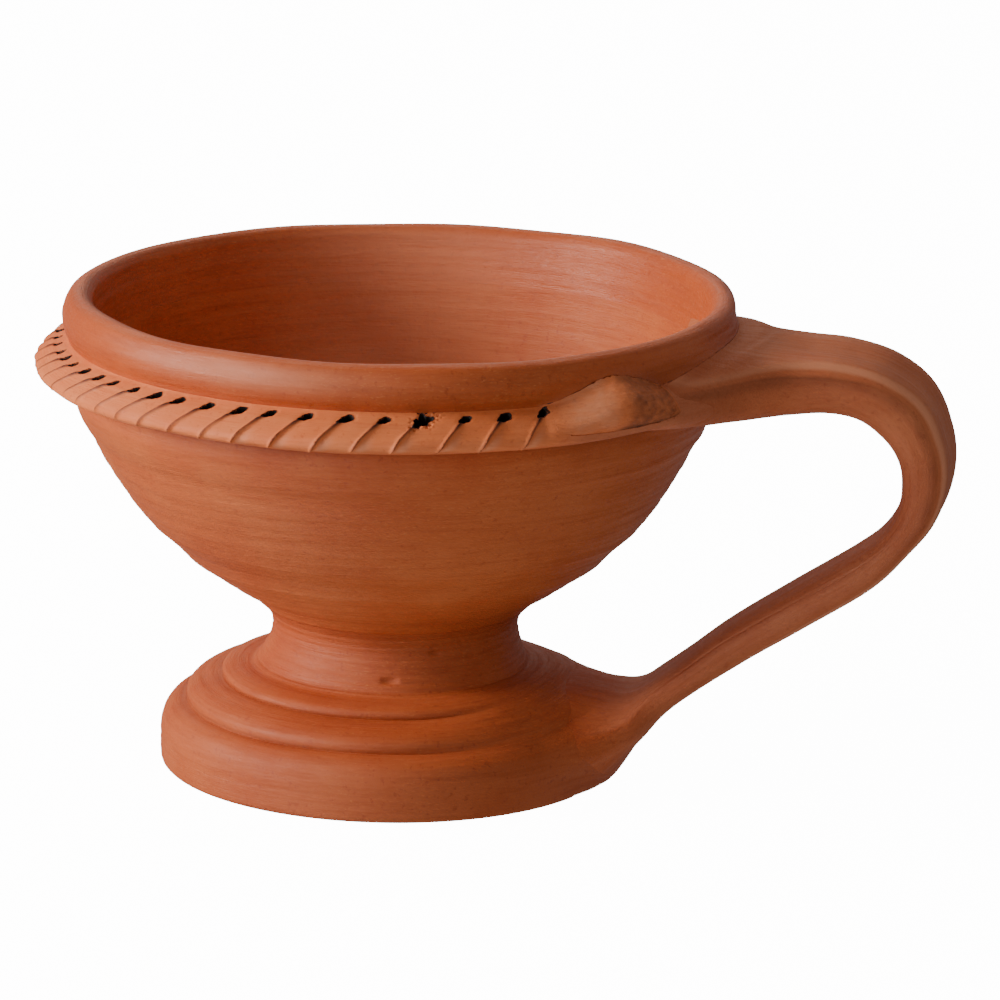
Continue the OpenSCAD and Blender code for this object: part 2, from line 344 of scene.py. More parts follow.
def lathe_distance(loop):
    """Measures how far points lie outside a hand-thrown body, given its closed outline, and which way is
    out. Inside, the distance is negative."""
    a, b = loop, np.roll(loop, -1, 0)
    edge = b - a
    size = (edge**2).sum(1) + 1e-12
    outward = np.stack([edge[:, 1], -edge[:, 0]], -1) / np.sqrt(size)[:, None]

    def measure(p):
        if len(p) > CHUNK:
            parts = [measure(p[i:i + CHUNK]) for i in range(0, len(p), CHUNK)]
            return np.concatenate([d for d, _ in parts]), np.vstack([g for _, g in parts])
        angle, q = as_turned(p)
        to = q[:, None, :] - a[None]
        share = np.clip((to * edge).sum(2) / size, 0, 1)
        near = a[None] + share[..., None] * edge[None]
        gap = np.linalg.norm(q[:, None, :] - near, axis=2)
        best = gap.argmin(1)
        rows = np.arange(len(q))
        above = (a[None, :, 1] > q[:, 1:2]) != (b[None, :, 1] > q[:, 1:2])
        cross = edge[None, :, 0] * (q[:, 1:2] - a[None, :, 1]) / (edge[None, :, 1] + 1e-12) + a[None, :, 0]
        inside = (above & (q[:, 0:1] < cross)).sum(1) % 2 == 1
        sign = np.where(inside, -1.0, 1.0)
        d = gap[rows, best] * sign
        flat = (q - near[rows, best]) / (gap[rows, best][:, None] + 1e-9) * sign[:, None]
        flat = np.where(gap[rows, best][:, None] < TOUCHING, outward[best], flat)
        grad = np.stack([flat[:, 0] * np.cos(angle), flat[:, 0] * np.sin(angle), flat[:, 1]], -1)
        return d, grad

    measure.box = np.array([-90, -90, -5]), np.array([90, 90, 100])
    return measure


def mesh_distance(clay):
    """Measures how far points lie outside a closed body, as it is now, and which way is out."""
    tree = BVHTree.FromPolygons(clay.points.tolist(), clay.faces)

    def measure(p):
        d, grad = np.empty(len(p)), np.empty((len(p), 3))
        for i, q in enumerate(p.tolist()):
            place, normal, _, gap = tree.find_nearest(q)
            away = Vector(q) - place
            sign = 1.0 if away.dot(normal) >= 0 else -1.0
            d[i] = gap * sign
            grad[i] = normal if gap < 1e-4 else away * (sign / gap)
        return d, grad

    measure.box = clay.points.min(0), clay.points.max(0)
    return measure


# A point this deep inside the other body stays put.
BURY = 2.2
# A covered skin dips under the other by this share of the distance between them, up to the most.
DIP_SHARE, DIP_MOST = 0.35, 0.8
PASSES = 8
FRONT_Y, BACK_Y = -34, 4
FLOOR_GAP = 0.3


def join_skins(clay, own, other, fillets, relief_limit=0.6):
    """Moves the points of one body onto the skin that it shares with another. The fillet has one size
    in front of the lamp and another behind it. Where the other body covers this one, it dips just
    under the skin. Relief up to the limit is kept, and fades out towards the join."""

    def fillet(p):
        return np.interp(p[:, 1], [FRONT_Y, BACK_Y], fillets)

    low, high = other.box
    room = max(fillets)
    inside = ((clay.points > low - room) & (clay.points < high + room)).all(1)
    rows = np.where(inside)[0]
    gap, outwards = other(clay.points[rows])
    depth, facing = own(clay.points[rows])
    on_skin = (np.abs(depth) < 2 * relief_limit) & ((gap > 0) | ((outwards * facing).sum(1) > -0.2))
    near = (gap < fillet(clay.points[rows])) & (gap > -BURY) & on_skin
    rows, gap = rows[near], gap[near]
    if not len(rows):
        return
    p = clay.points[rows].copy()
    relief = own(p)[0] * step(gap, 0, fillet(p))
    relief = np.clip(relief, -relief_limit, relief_limit)
    strength = step(gap, -BURY, -0.5)[:, None]
    for _ in range(PASSES):
        a, toward_a = own(p)
        b, toward_b = other(p)
        radius = fillet(p)
        h = np.clip(radius - np.abs(a - b), 0, None) / radius
        level = np.minimum(a, b) - h * h * radius / 4 - relief
        level = level + np.clip(DIP_SHARE * (a - b), 0, DIP_MOST)
        share = np.where(a < b, 1 - h / 2, h / 2)[:, None]
        pull = toward_a * share + toward_b * (1 - share)
        p -= pull * np.clip(level / ((pull**2).sum(1) + 0.08), -1.5, 1.5)[:, None]
    p[:, 2] = np.maximum(p[:, 2], FLOOR_GAP)
    clay.points[rows] += (p - clay.points[rows]) * strength


def coarser(skin):
    """Every fourth point of an outline, without its first."""
    return skin[4::4]


roll_outside = roll_skin[:np.argmax(roll_skin[:, 1]) + 1]
upper_clay = lathe_distance(np.vstack([
    [(0, STEM_TOP)], bowl_skin[::4], coarser(band_skin[::-1]), coarser(roll_outside), [(0, CREST)]
]))
lower_clay = lathe_distance(np.vstack([
    [(0, -40), (FOOT_R - 0.3, -40)], *map(coarser, foot_skin), coarser(stem_skin), [(0, STEM_TOP)]
]))


# ---------------------------------------------------------------- the turned pieces

def even_turn(columns):
    """Azimuths spaced evenly round the lamp."""
    return np.arange(columns) * TAU / columns


def chip(theta, z, azimuth, height, radius, width, tall, deep):
    """A shallow scrape in a turned skin, as a depth."""
    along = radius * turn_from(theta, azimuth)
    return deep * np.exp(-((along / width) ** 2 + ((z - height) / tall) ** 2) ** 2)


def foot_relief(line):
    """The steps are uneven where they were trimmed. Where the handle's root was smeared on they run out
    into a ramp, from its start above the wall to the foot's top."""
    along = lengths(line)
    top = np.argmax(line[:, 1] >= FOOT_TOP - 1e-6)
    start = np.argmax(line[:, 1] >= FOOT_WALL + 3.4)

    def relief(t, run, z, normal):
        wave = 0.18 * np.sin(3 * t + 0.4) * bump(z, 12.5, 2.0) + 0.12 * np.sin(5 * t) * bump(z, 17, 1.6)
        wave = wave * (run < along[top])
        smeared = 1 - step(np.abs(turn_from(t, 0)), 0.62, 1.30)
        share = np.clip((run - along[start]) / (along[top] - along[start]), 0, 1)
        swell = np.sin(math.pi * share) * (0.7 + 0.9 * bump(turn_from(t, 0), 0, 0.6))
        ramp_r = line[start, 0] + (line[top, 0] - line[start, 0]) * share + 0.8 * swell
        ramp_z = line[start, 1] + (line[top, 1] - line[start, 1]) * share + 1.7 * swell
        inner = (run > along[start]) & (run < along[top])
        out = smeared * (ramp_r - np.interp(run, along, line[:, 0])) * inner
        up = smeared * (ramp_z - np.interp(run, along, line[:, 1])) * inner
        # Painted shade in the creases of the steps and painted highlights on their edges, weaker towards
        # the handle and gone where the root was smeared on.
        crease = 0.42 * bump(z, FOOT_WALL + 5.2, 0.42) + 0.38 * bump(z, FOOT_WALL + 9.7, 0.4)
        crease = crease + 0.10 * bump(z, FOOT_TOP - 0.4, 0.5)
        crease = crease * (0.5 + 0.5 * step(np.abs(turn_from(t, 0)), 1.1, 1.9))
        pale = 0.12 * bump(z, FOOT_WALL + 6.6, 0.6) + 0.12 * bump(z, FOOT_WALL + 10.8, 0.5)
        return out + normal[:, 0] * wave, up + normal[:, 1] * wave, (crease - pale) * (1 - smeared)

    return relief


def make_foot():
    """The stepped foot, hollow underneath."""
    line = outline(
        *[(skin, 0.45, 0.8) for skin in foot_skin], ([(NECK_R, FOOT_TOP), (BORE_R, FOOT_TOP)], 4, 0),
        (foot_hollow, 1.4, 0.8), ([(34, 0), (FOOT_R - 1.2, 0)], 1.2, 0.5)
    )[:-1]
    return lathe(line, even_turn(780), 11, foot_relief(line))


def stem_relief(t, run, z, normal):
    """Two scrapes of the trimming tool, and the crease under the bowl, with painted shade in the scrapes,
    under the bowl and at the foot's top.
    """
    cut = chip(t, z, -81, FOOT_TOP + 2.2, 24.5, 1.6, 0.55, 0.5)
    cut = cut + chip(t, z, -60.5, FOOT_TOP + 6.9, 23.2, 1.1, 0.5, 0.4)
    lines = 0.05 * np.sin(z * 4.7 + np.sin(t)) + 0.04 * np.sin(z * 7.9 + np.sin(2 * t))
    # Painted shade under the bowl, at the foot's top and in the scrapes.
    dark = 0.12 * bump(z, STEM_TOP + 2, 3) + 0.06 * bump(z, FOOT_TOP, 0.8)
    outside = (run > 20) & (z < STEM_TOP - 0.01)
    rise = (lines - cut) * outside
    return normal[:, 0] * rise, normal[:, 1] * rise, dark + 0.25 * cut


def make_stem():
    """The waisted stem, with a short bore from below."""
    line = outline(
        (stem_hollow, 1.4, 0), ([(BORE_R, FOOT_TOP), (NECK_R, FOOT_TOP)], 4, 0),
        (stem_skin, 0.3, 0.5), ([(WAIST_R + 2.2, STEM_TOP), (0, STEM_TOP)], 5, 0)
    )
    return lathe(line, even_turn(640), 12, stem_relief)


def inner_painted_light(theta):
    """How much painted light lightens the inside of the bowl, at the back."""
    return 0.40 * bump(turn_from(theta, 104), 0, 0.55)


def bowl_relief(line):
    """The ridges on the outside, with painted shade in the valley under the band, in a groove and towards
    the bottom, painted highlights on the ridges, and near-black painted shade on the wall hidden behind the
    band's holes.
    """
    outside = lengths(line)[np.argmax(line[:, 1] >= WALL_TOP - 1e-6)]

    def relief(t, run, z, normal):
        outer = run < outside + 1.5
        slant = z + 0.9 * np.sin(t + 1.2)
        ridge = 0.20 * bump(z, 41.2, 1.4) - 0.22 * bump(z, 44.4, 1.4) - 0.12 * bump(z, 36.6, 2.2)
        ridge = ridge + 0.14 * bump(slant, 66.5, 1.1) - 0.14 * bump(slant, 63.5, 1.6)
        rise = ridge * outer
        # Painted shade under the band, under the bowl and in the groove, painted highlights on the ridges,
        # and near-black painted shade on the outer wall hidden behind the band.
        dark = 0.3 * bump(z, BAND_LOW + 0.3, 1.3) + 0.10 * bump(z, STEM_TOP + 3, 2.6)
        dark = dark + 0.10 * bump(z, 44.6, 1.3) - 0.10 * bump(z, 41.0, 0.9) - 0.08 * bump(slant, 66.6, 1.0)
        dark = dark + 1.5 * step(z, BAND_LOW + 0.8, BAND_LOW + 2) + 0.07 * (1 - step(z, 35, 50))
        # Painted light inside the bowl at the back.
        inner_light = inner_painted_light(t) * (1 - outer) * step(z, 45, 60)
        return normal[:, 0] * rise, normal[:, 1] * rise, dark * outer - inner_light

    return relief


def make_bowl():
    """The open bowl, up to the band and the roll."""
    line = outline(
        ([(0, STEM_TOP), (WAIST_R + 2.2, STEM_TOP)], 5, 0), (bowl_skin, 0.6, 1.0),
        ([(BOWL_R, BAND_LOW), (BOWL_R, WALL_TOP)], 2, 0),
        ([(BOWL_R, WALL_TOP), (BOWL_R - WALL, WALL_TOP)], 1.5, 0), (bowl_inside[::-1], 0.9, 1.3)
    )
    return lathe(line, even_turn(440), 13, bowl_relief(line))


def make_rim_roll():
    """The rolled rim, pressed in above the handle."""
    along = lengths(roll_skin)
    crest, roll_length = along[np.argmax(roll_skin[:, 1])], along[-1] + 0.5
    line = outline(
        (roll_skin, 0.32, 0.7), ([(BOWL_R - WALL, WALL_TOP), (BOWL_R, WALL_TOP)], 1.5, 0),
        ([(BOWL_R, WALL_TOP), ROLL_SEAT], 0.6, 0)
    )[:-1]

    def relief(t, run, z, normal):
        soft = 0.10 * np.sin(7 * t + 1) * np.sin(2 * t) + 0.08 * np.sin(11 * t + run / 3)
        rise = soft * step(run, 0, 2) * (1 - step(run, 19, 23))
        press = thumb_press(t, z) * (run < crest)
        # Near-black painted shade on the hidden faces, painted shade on the roll's lower side in front of
        # the strap, a painted highlight on the roll's front left, and painted light inside at the back.
        dark = 1.5 * (run > roll_length) + 0.36 * bump(turn_from(t, -32), 0, 0.34) * (1 - step(run, 2, 8))
        dark = dark - 0.34 * bump(turn_from(t, -106), 0, 0.5) * bump(run, 5.5, 3.5)
        dark = dark - inner_painted_light(t) * step(run, crest - 1, crest + 4) * (run < roll_length)
        return normal[:, 0] * rise - press, normal[:, 1] * rise, dark

    return lathe(line, even_turn(1000), 14, relief)


# ---------------------------------------------------------------- the band and its tool cuts

CUTS = 44
# Azimuths in degrees; the cuts start beside the lug in front and go round the bowl to the one behind.
FIRST_CUT = -55.7
CUT_PITCH = (360 + 2 * FIRST_CUT) / (CUTS - 1)
CUT_SLANT = 5.6
# Where a cut is measured, and how far along the band it can reach.
CUT_RADIUS = 64.5
CUT_SPREAD = 14
TORN_CUT = 3
LAST_BOLD_CUT = 7


def cut_places():
    """The azimuth of each cut, set out by eye: the spacing drifts round the bowl."""
    rng = np.random.default_rng(21)
    i = np.arange(CUTS)
    drift = -4.0 * np.sin(math.pi * np.clip(i, 0, 33) / 16.5)
    return FIRST_CUT - i * CUT_PITCH + drift + rng.uniform(-0.3, 0.3, CUTS)


def faintness(number):
    """The cuts on the side away from the handle were pressed more lightly."""
    return float(step(number, 4, 16) * (1 - step(number, 27, 38)))


def pressed_hole(across, up, number):
    """A slanted drop shape: below 1 inside the hole. up is measured from the foot of the roll."""
    rng = np.random.default_rng(500 + number)
    size, faint, torn = rng.uniform(0.9, 1.12), faintness(number), number == TORN_CUT
    turn = math.radians(36)
    level = up + 1.4
    hx = across * math.cos(turn) + level * math.sin(turn)
    hy = -across * math.sin(turn) + level * math.cos(turn)
    half_long = (1.9 if torn else 1.42 * size) - 0.25 * faint
    half_short = ((1.15 if torn else 0.78 * size) - 0.12 * faint) * (1 + 0.25 * np.tanh(hx))
    ragged = 1 + (0.22 if torn else 0.07) * np.sin(5 * np.arctan2(hy, hx) + number)
    return np.hypot(hx / half_long, hy / half_short) / ragged


def tool_cut(u, s, number, rng):
    """One cut and its hole, u along the band and s down it: how far its edges rise, how deep its hole is,
    and its shade."""
    faint = faintness(number)
    deep, wide = rng.uniform(0.36, 0.48) * (1 - 0.3 * faint), rng.uniform(0.25, 0.31)
    far = rng.uniform(8.6, 9.4) - rng.uniform(0.6, 2.2) * faint
    curl = rng.uniform(-0.015, 0.02)
    slope = CUT_RADIUS * math.radians(CUT_SLANT + 2.2 * faint) / 7.2
    path = -slope * (s - 1.3) * (1 - 0.02 * s) + curl * (s - 1.3) * (s - 9)
    side = (u - path) * math.cos(math.atan(slope))
    reach = step(s, 1.4, 3.0) * (1 - step(s, far - 1.4, far + 0.6))
    thin = wide * (1.3 - 0.45 * step(s, 2, far))
    trench = reach * np.exp(-np.abs(side / thin) ** 1.6)
    bold = (1 - faint) * step(s, 2.5, 7.5) * (1 - step(s, far, far + 1.6))
    bold = bold * (0.35 if number > LAST_BOLD_CUT else 1)
    lit = 0.26 * bold * (side > 0) * np.exp(-np.abs(side) / 1.4) * step(side, 0.1, 0.5)
    fall = -0.20 * bold * (side <= 0) * np.exp(-np.abs(side) / 1.6)
    hole = pressed_hole(u, -s, number)
    pit = (3.6 - 1.0 * faint) * (1 - step(hole, 0.66, 1.06))
    rim = 0.10 * bump(hole, 1.3, 0.2)
    if number == TORN_CUT:
        crumbs = np.maximum(0, np.sin(4.3 * u + 1) * np.sin(5.1 * s + 2)) ** 1.5
        rim = rim + 0.55 * crumbs * bump(hole, 1.35, 0.45)
        pit = pit * (1 - 0.5 * bump(u, 0.9, 0.22))
    # Near-black painted shade inside the hole, painted shade along the groove and near its start, and a
    # painted highlight on the groove's right side.
    shade = 1.5 * (1 - step(hole, 1.06, 1.2)) + 0.8 * trench
    shade = shade + 0.5 * bump(side, 0, 0.5) * step(s, 1.2, 2.2) * (1 - step(s, 2.5, 4.5))
    shade = shade - 0.30 * bold * (side > 0) * bump(side, 1.1, 0.9)
    return lit + fall + rim - deep * trench, pit, shade


def band_relief(t, run, z, normal):
    """Every cut starts in a pressed hole by the rim and runs slanting down across the band."""
    rng = np.random.default_rng(22)
    out, up, shade = 0 * t, 0 * t, 0 * t
    for number, azimuth in enumerate(cut_places()):
        along = CUT_RADIUS * turn_from(t, azimuth)
        close = np.abs(along) < CUT_SPREAD
        rise, pit, tone = tool_cut(along[close], run[close] - 0.7, number, rng)
        out[close] += np.broadcast_to(normal[:, 0], t.shape)[close] * rise - 0.55 * pit
        up[close] += np.broadcast_to(normal[:, 1], t.shape)[close] * rise - 0.80 * pit
        shade[close] += tone
    length = lengths(band_skin)[-1]
    skin = (run < length - 0.1).astype(float)
    swell = (0.08 * np.sin(9 * t + 0.5) + 0.05 * np.sin(23 * t + run / 2)) * skin * step(run, 0, 3)
    turn = np.abs(turn_from(t, 0))
    under_lug = step(turn, 0.53, 0.60) * (1 - step(turn, 0.84, 0.93))
    # Painted shade under the band's lower edge and in a crease under each lug, near-black painted shade on
    # hidden faces, a little lighter below the band's widest curve, and a little darker towards the handle
    # to meet the strap's colour.
    shade = np.clip(shade * skin, -0.3, 1.5)
    shade = shade + (0.22 * bump(run, 14.2, 1.0) - 0.10 * bump(run, 8.6, 2.2)) * skin
    shade = shade + under_lug * (0.06 * step(run, 7.0, 7.6) + 0.34 * bump(run, 6.8, 0.6)) * skin
    shade = shade + 0.10 * (1 - step(turn, 0.50, 0.75)) * skin + 1.5 * (run > length + 0.1)
    return out * skin + normal[:, 0] * swell, up * skin + normal[:, 1] * swell, shade


def make_band():
    """The band, with its points crowded where the cuts are."""
    first, last = math.radians(FIRST_CUT + 7), math.radians(-FIRST_CUT - 7)
    plain = np.linspace(first, last, 160, endpoint=False)
    busy = np.linspace(last, first + TAU, 1640, endpoint=False)
    line = outline(
        (band_skin[:25], 0.16, 0.3), (band_skin[24:49], 0.32, 0.3), (band_skin[48:], 0.8, 0.3),
        ([(BOWL_R, BAND_LOW), (BOWL_R, WALL_TOP)], 2, 0),
        ([(BOWL_R, WALL_TOP), ROLL_SEAT], 1.2, 0)
    )[:-1]
    clay = lathe(line, np.concatenate([plain, busy]), 15, band_relief)
    turn, z = np.abs(np.arctan2(clay.points[:, 1], clay.points[:, 0])), clay.points[:, 2]
    # The strip of band under each lug takes the strap's darker colour as painted shade.
    under_lug = 0.8 * (1 - step(turn, 0.84, 0.95)) * (1 - step(z, 77.9, 78.6))
    clay.merge = np.maximum(1 - step(turn, 0.50, 0.66), under_lug)
    return clay


# ---------------------------------------------------------------- the pinched lugs

LUG_RIDGE = 45.0
LUG_LEFT, LUG_RIGHT = 54.5, 31.3


def soft_noise(rng, rows, columns, row_blur, column_blur):
    """Random lumps of about unit height, blurred over a few grid cells."""
    lumps = rng.normal(size=(rows, columns))
    for axis, blur in ((0, row_blur), (1, column_blur)):
        for _ in range(blur):
            lumps = (2 * lumps + np.roll(lumps, 1, axis) + np.roll(lumps, -1, axis)) / 4
    return lumps / lumps.std()


def make_lug(side):
    """A flap of the band pushed up against the roll, with a sharp ridge. side is -1 in front, 1 behind."""
    ends = LUG_LEFT, LUG_RIGHT
    azimuths = np.linspace(*ends, 110)
    centre = np.array([61.5, 80.5])
    flat = smooth([
        (59.0, 78.8), (60.6, 78.2), (64.1, 78.0), (66.2, 78.1), (66.8, 78.5), (66.3, 79.1),
        (65.2, 79.9), (63.8, 80.9), (62.6, 81.5), (61.4, 81.3), (60.0, 80.8), (58.8, 80.2)
    ], 7)
    peak = smooth([
        (59.0, 78.7), (61.0, 78.2), (64.4, 78.1), (67.6, 78.2), (69.5, 78.8), (70.5, 80.1),
        (70.4, 81.7), (69.4, 83.3), (67.6, 84.7), (65.2, 85.7), (62.4, 85.9), (60.2, 85.0)
    ], 7)
    rng = np.random.default_rng(31)
    size = len(azimuths), len(flat)
    pocks = 0.7 * soft_noise(rng, *size, 5, 2) + 0.7 * soft_noise(rng, *size, 22, 8)
    rings, grain, shade = [], [], []
    for row, azimuth in enumerate(azimuths):
        left = max(1e-3, (LUG_LEFT - azimuth) / (LUG_LEFT - LUG_RIDGE)) ** 0.85
        right = max(1e-3, (azimuth - LUG_RIGHT) / (LUG_RIDGE - LUG_RIGHT)) ** 0.6
        height = 0 if azimuth in ends else 1.1 * (left**-6 + right**-6) ** (-1 / 6)
        rough = step(LUG_RIDGE - azimuth, -2.2, 3.0)
        line = flat + (peak - flat) * height
        skew = (line[:, 1] - 77) / 10 * 1.5 * height
        part = np.arange(len(line)) / len(line)
        ripple = (0.05 + 0.04 * rough) * height * pocks[row]
        away = line - centre
        away /= np.linalg.norm(away, axis=1)[:, None]
        line = line + away * ripple[:, None]
        a = np.radians(azimuth - skew) * side
        rings.append(hand_thrown(a, line[:, 0], line[:, 1]))
        grain.append(np.column_stack([
            line[:, 0] * np.cos(a) * GRAIN_PULL, line[:, 0] * np.sin(a) * GRAIN_PULL, part * 40
        ]))
        # Painted shade on the facet towards the handle, a painted highlight on the facet away from it, and
        # painted shade in the crease under the lug.
        tone = 0.47 * rough * min(1, 8 * height) - 0.32 * (1 - rough) * min(1, 2.2 * height)
        tone = tone * (1 + 0.16 * pocks[row])
        shade.append(tone + 0.34 * min(1, 2 * height) * bump(part, 0.27, 0.06))
    points = np.vstack(rings)
    faces = face_out(points, capped_tube(len(rings), len(flat)))
    return Clay(points, faces, np.vstack(grain), np.concatenate(shade))


# ---------------------------------------------------------------- the strap handle

STATION_STEPS = 40
STRAP_GAP = 0.5
AROUND = 144


def strap_path():
    """Stations of the top root, the strap and the lower root: outer edge x, z; inner edge x, z; half width;
    how far it wraps round the lamp; how much thinner it is at its sides."""
    top = [
        (57.4, 85.2, 57.6, 73.0, 33.5, 1, 0.35), (62.6, 85.4, 62.4, 72.6, 34.2, 1, 0.35),
        (66.2, 85.4, 66.0, 72.2, 33.6, 1, 0.35), (67.9, 85.4, 67.6, 72.0, 29.2, 0.97, 0.3),
        (69.5, 85.3, 69.2, 71.9, 23.6, 0.88, 0.2), (71.8, 85.4, 71.4, 72.1, 19.2, 0.65, 0.1),
        (76.2, 85.3, 75.4, 72.7, 16.0, 0.25, 0),
    ]
    strap = [
        (REACH - 20.0, 84.9, REACH - 22.1, 73.2, 14.6, 0, 0),
        (REACH - 11.2, 82.6, REACH - 16.4, 72.1, 13.6, 0, 0),
        (REACH - 3.8, 77.6, REACH - 11.8, 68.7, 12.4, 0, 0),
        (REACH + 0.5, 69.7, REACH - 9.2, 64.8, 11.4, 0, 0),
        (REACH + 1.4, 61.4, REACH - 8.4, 60.6, 10.6, 0, 0),
        (REACH - 1.1, 53.3, REACH - 9.0, 55.6, 10.1, 0, 0),
        (REACH - 6.2, 46.7, REACH - 12.2, 50.2, 9.6, 0, 0),
        (REACH - 13.1, 39.4, REACH - 17.8, 45.7, 9.1, 0, 0),
        (REACH - 25.4, 31.1, REACH - 29.6, 38.0, 8.8, 0, 0),
        (REACH - 37.6, 23.2, REACH - 41.8, 29.6, 9.0, 0, 0),
        (REACH - 49.1, 14.3, REACH - 52.6, 20.5, 10.6, 0, 0),
    ]
    low = [
        (49.7, 7.6, 46.4, 17.1, 14.4, 0.1, 0.3), (45.1, 2.2, 40.2, 17.2, 18.0, 0.4, 0.7),
        (40.4, 1.2, 33.8, 16.5, 19.0, 0.8, 0.9), (36.5, 1.6, 29.4, 12.2, 16.0, 1, 0.9),
    ]
    return top, strap, low


def section(station, angles, wrap_radius):
    """One ring round the strap. Its outer face is dished, and its ends wrap round the lamp."""
    out_x, out_z, in_x, in_z, half, wrap, pinch = station
    mid = np.array([out_x + in_x, out_z + in_z]) / 2
    rise = np.array([out_x - in_x, out_z - in_z]) / 2
    outer = step(np.sin(angles), -0.1, 0.5)
    across = np.sign(np.cos(angles)) * np.abs(np.cos(angles)) ** (0.62 + 0.14 * outer)
    up = np.sign(np.sin(angles)) * np.abs(np.sin(angles)) ** (0.66 + 0.10 * outer)
    valley = 0.22 * bump(across, -0.22, 0.42) + 0.10 * bump(across, 0.35, 0.4)
    valley = valley - 0.05 * bump(across, -0.78, 0.12)
    dish = 1 - valley * (1 - 0.8 * wrap) * step(np.sin(angles), 0.1, 0.6)
    y = across * half
    drop = wrap * (np.sqrt(np.maximum(wrap_radius**2 - y**2, 1)) - wrap_radius)
    thin = 1 - pinch * np.abs(across) ** 2.5
    x = mid[0] + rise[0] * up * dish * thin + drop
    z = mid[1] + rise[1] * up * dish * thin
    return np.stack([x, y, z], -1), across, up


def wiped_streaks(rng):
    """Lines left by wet fingers along the strap: gives a function of the place and the angle round it."""
    lines = [(rng.uniform(0, TAU), rng.uniform(0.05, 0.14), rng.uniform(-0.22, 0.22),
              rng.uniform(0, TAU), rng.uniform(25, 70)) for _ in range(26)]

    def height(place, angles):
        total = 0
        for where, wide, high, phase, wave in lines:
            wander = 0.25 * np.sin(place / wave + phase)
            off = np.mod(angles - where - wander + math.pi, TAU) - math.pi
            total = total + high * bump(off, 0, wide) * (0.6 + 0.4 * np.sin(place / (wave * 0.6) + phase))
        return total

    return height


def drag_mark(place, across, up):
    """A thumb's drag across the top of the strap near the rim."""
    ridge = bump(place - 10 - 5 * across, 0, 0.7) * step(across, -0.5, -0.2) * (1 - step(across, 0.1, 0.4))
    trough = 0.6 * bump(place - 11.6 - 5 * across, 0, 0.8) * bump(across, -0.1, 0.3)
    return (ridge - trough) * (up > 0.3)


def strap_shade(place, wrap, across, up):
    """Painted highlights along the crest, on the topside near the rim and on the lower leg's upper face;
    painted shade along the dish, in a band under the crest on the near side, and in a thin crease line.
    """
    topside = step(up, 0.2, 0.6)
    free = (1 - wrap) * (1 - step(place, 85, 115))
    # Painted shade along the dish and painted highlights on the crest and the lit topside.
    shade = (0.24 * bump(across, -0.56, 0.15) + 0.08 * bump(across, 0.1, 0.4)) * topside
    shade = shade - (0.22 + 0.30 * free) * bump(across, -0.85, 0.06) * topside * (1 - step(place, 150, 165))
    shade = shade - 0.18 * topside * (1 - step(place, 40, 75)) * (1 - step(-across, 0.9, 1))
    shade = shade - 0.30 * step(-up, 0.25, 0.6) * step(place, 105, 125) * (1 - wrap)
    # Painted shade in a band under the crest on the near side, and a thin painted crease line along it.
    under_crest_shade = bump(up, 0.30, 0.27) * (across < -0.8) * step(place, 5, 11)
    under_crest_shade = under_crest_shade * (0.44 - 0.24 * step(place, 55, 80)) * (0.92 + 0.08 * math.sin(place * 0.9))
    thin_line = bump(up, 0.42 + 0.05 * math.sin(place / 5), 0.05) * (across < -0.8)
    return shade + under_crest_shade + 0.16 * thin_line * step(place, 8, 12) * (1 - step(place, 26, 36))


def make_handle():
    """The whole strap as one long body, and the rows at which its three lengths meet."""
    top, strap, low = strap_path()
    fine = smooth(np.array(top + strap + low), STATION_STEPS)
    mid = np.column_stack([(fine[:, 0] + fine[:, 2]) / 2, (fine[:, 1] + fine[:, 3]) / 2])
    run = lengths(mid)
    length = run[-1]
    count = int(length / STRAP_GAP)
    at = np.linspace(0, length, count)
    even = np.stack([np.interp(at, run, fine[:, k]) for k in range(fine.shape[1])], -1)
    angles = np.arange(AROUND) * TAU / AROUND
    streaks = wiped_streaks(np.random.default_rng(41))
    rings, grain, shade, merge = [], [], [], []
    radius = np.interp(at, [0, length * 0.5, length], [BOWL_R, 50, 38.5])
    for row, (place, station) in enumerate(zip(at, even)):
        out_x, out_z, in_x, in_z, half, wrap, _ = station
        ring, across, up = section(station, angles, radius[row])
        away = ring - np.array([(out_x + in_x) / 2, 0, (out_z + in_z) / 2])
        away /= np.linalg.norm(away, axis=1)[:, None] + 1e-9
        hold = min(1, place / 6, (length - place) / 6)
        drag = drag_mark(place, across, up)
        rings.append(ring + away * (streaks(place, angles) * hold - 0.35 * drag)[:, None])
        grain.append(np.column_stack([np.full(AROUND, place * GRAIN_PULL), across * half, up * 6.0]))
        # Painted shade in the thumb's drag mark.
        shade.append(strap_shade(place, wrap, across, up) + 0.25 * np.maximum(drag, 0))
        merge.append(np.full(AROUND, step(place, length - 27, length - 10)))
    points = np.vstack(rings)
    shift = lean(points[:, 2])
    points[:, 0] += shift * math.cos(LEAN_TOWARDS)
    points[:, 1] += shift * math.sin(LEAN_TOWARDS)
    faces = face_out(points, capped_tube(count, AROUND))
    seams = [
        int(round(run[k * STATION_STEPS] / length * (count - 1)))
        for k in (len(top), len(top) + len(strap) - 1)
    ]
    whole = Clay(points, faces, np.vstack(grain), np.concatenate(shade), np.concatenate(merge))
    return whole, seams


def split_strap(whole, seams):
    """Cuts the strap at its seams into three closed lengths."""
    pieces = []
    last = len(whole.points) // AROUND - 1
    for start, end in zip([0] + seams, seams + [last]):
        rows = slice(start * AROUND, (end + 1) * AROUND)
        points = whole.points[rows]
        faces = face_out(points, capped_tube(end - start + 1, AROUND))
        pieces.append(Clay(points, faces, whole.grain[rows], whole.shade[rows], whole.merge[rows]))
    return pieces


# ---------------------------------------------------------------- fired clay

